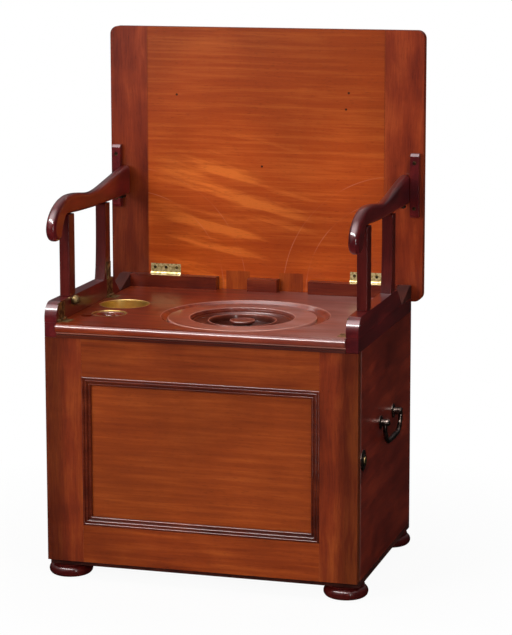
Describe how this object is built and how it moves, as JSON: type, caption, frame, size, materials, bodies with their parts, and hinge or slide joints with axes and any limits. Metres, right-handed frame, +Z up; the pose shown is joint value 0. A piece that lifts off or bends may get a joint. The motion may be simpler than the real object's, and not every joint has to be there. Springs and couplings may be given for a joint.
{
  "type": "travelling commode",
  "caption": "Mahogany box commode on bun feet, with folding scroll arms, a hinged lid standing open, a panelled door, a turned seat cover and two brass-lined wells.",
  "frame": {"origin": "on the floor, under the middle of the whole object's bounding box", "axes": "+Z up; -Y out of the case's front, where the door is; +X to the right of a person who faces that front"},
  "size_m": [0.6, 0.4393, 0.9456],
  "materials": {
    "mahogany_board": "red-brown mahogany, French polished",
    "mahogany_dark": "dark red-brown mahogany, French polished",
    "mahogany_light": "orange-brown mahogany board, French polished",
    "mahogany_clamp": "mahogany clamp, cross to the board's grain, French polished",
    "inner_pine": "stained pine, unpolished",
    "brass_polished": "polished brass, lightly toned",
    "brass_aged": "aged brass, dark in the hollows",
    "iron_dark": "dark iron",
    "glazed_stoneware": "cream glazed stoneware"
  },
  "bodies": {
    "case": {"base_board": "mahogany_dark", "bun_feet": "mahogany_dark", "foot_dowels": "mahogany_board", "left_side_board": "mahogany_dark", "right_side_board": "mahogany_dark", "back_panel": "inner_pine", "shelf_bearers": "inner_pine", "pan_shelf": "inner_pine", "deck_board": "mahogany_board", "left_deck_clamp": "mahogany_dark", "right_deck_clamp": "mahogany_dark", "back_rail_blocks": "mahogany_board", "rear_corner_wedges": "mahogany_dark", "rear_well_cup": "brass_polished", "front_well_cup": "brass_polished", "case_hinge_leaves": "brass_polished", "door_hinge_pins": "brass_polished", "catch_plate": "brass_aged", "catch_spring": "brass_polished", "deck_leaves": "brass_polished", "arm_hinge_pins": "brass_polished", "rear_lid_leaves": "brass_polished", "lid_hinge_pins": "brass_polished", "handle_posts": "brass_aged"},
    "door": {"door_stiles": "mahogany_dark", "door_rails": "mahogany_board", "door_panel": "mahogany_light", "panel_moulding": "mahogany_dark", "door_hinge_leaves": "brass_polished", "door_keeper": "brass_polished"},
    "left_arm": {"left_armrest": "mahogany_dark", "left_front_post": "mahogany_dark", "left_rear_post": "mahogany_dark", "left_arm_rail": "mahogany_dark", "left_arm_leaves": "brass_aged", "left_arm_catch": "iron_dark", "left_arm_knob": "brass_polished"},
    "right_arm": {"right_armrest": "mahogany_dark", "right_front_post": "mahogany_dark", "right_rear_post": "mahogany_dark", "right_arm_rail": "mahogany_dark", "right_arm_leaves": "brass_aged", "right_arm_catch": "iron_dark"},
    "lid": {"lid_board": "mahogany_light", "lid_clamps": "mahogany_clamp", "lid_battens": "mahogany_dark", "lid_patches": "mahogany_light", "lid_leaves": "brass_polished", "lid_screws": "brass_polished"},
    "seat_cover": {"seat_cover": "mahogany_board"},
    "well_cap": {"well_cap": "mahogany_board"},
    "pan": {"pan": "glazed_stoneware"},
    "catch_button": {"catch_button": "brass_polished"},
    "left_bail": {"left_bail": "brass_aged"},
    "right_bail": {"right_bail": "brass_aged"}
  },
  "joints": [
    {"name": "door_hinge", "type": "hinge", "parent": "case", "child": "door", "pos_m": [-0.283, -0.1918, 0.232], "axis": [0, 0, -1], "range_deg": [0, 110]},
    {"name": "left_arm_fold", "type": "hinge", "parent": "case", "child": "left_arm", "pos_m": [-0.258, 0, 0.458], "axis": [0, 1, 0], "range_deg": [0, 90]},
    {"name": "right_arm_fold", "type": "hinge", "parent": "case", "child": "right_arm", "pos_m": [0.258, 0, 0.458], "axis": [0, -1, 0], "range_deg": [0, 90]},
    {"name": "lid_hinge", "type": "hinge", "parent": "case", "child": "lid", "pos_m": [0, 0.2005, 0.48065], "axis": [1, 0, 0], "range_deg": [0, 2]},
    {"name": "cover_lift", "type": "slide", "parent": "case", "child": "seat_cover", "axis": [0, 0, 1], "range_m": [0, 0.2]},
    {"name": "cap_lift", "type": "slide", "parent": "case", "child": "well_cap", "axis": [0, 0, 1], "range_m": [0, 0.1]},
    {"name": "pan_lift", "type": "slide", "parent": "case", "child": "pan", "axis": [0, 0, 1], "range_m": [0, 0.02]},
    {"name": "catch_press", "type": "slide", "parent": "case", "child": "catch_button", "axis": [-1, 0, 0], "range_m": [0, 0.003], "stiffness_N_per_m": 800},
    {"name": "left_bail_swing", "type": "hinge", "parent": "case", "child": "left_bail", "pos_m": [-0.291, 0.00635, 0.277], "axis": [0, 1, 0], "range_deg": [0, 110]},
    {"name": "right_bail_swing", "type": "hinge", "parent": "case", "child": "right_bail", "pos_m": [0.291, 0.00635, 0.277], "axis": [0, -1, 0], "range_deg": [0, 110]}
  ]
}
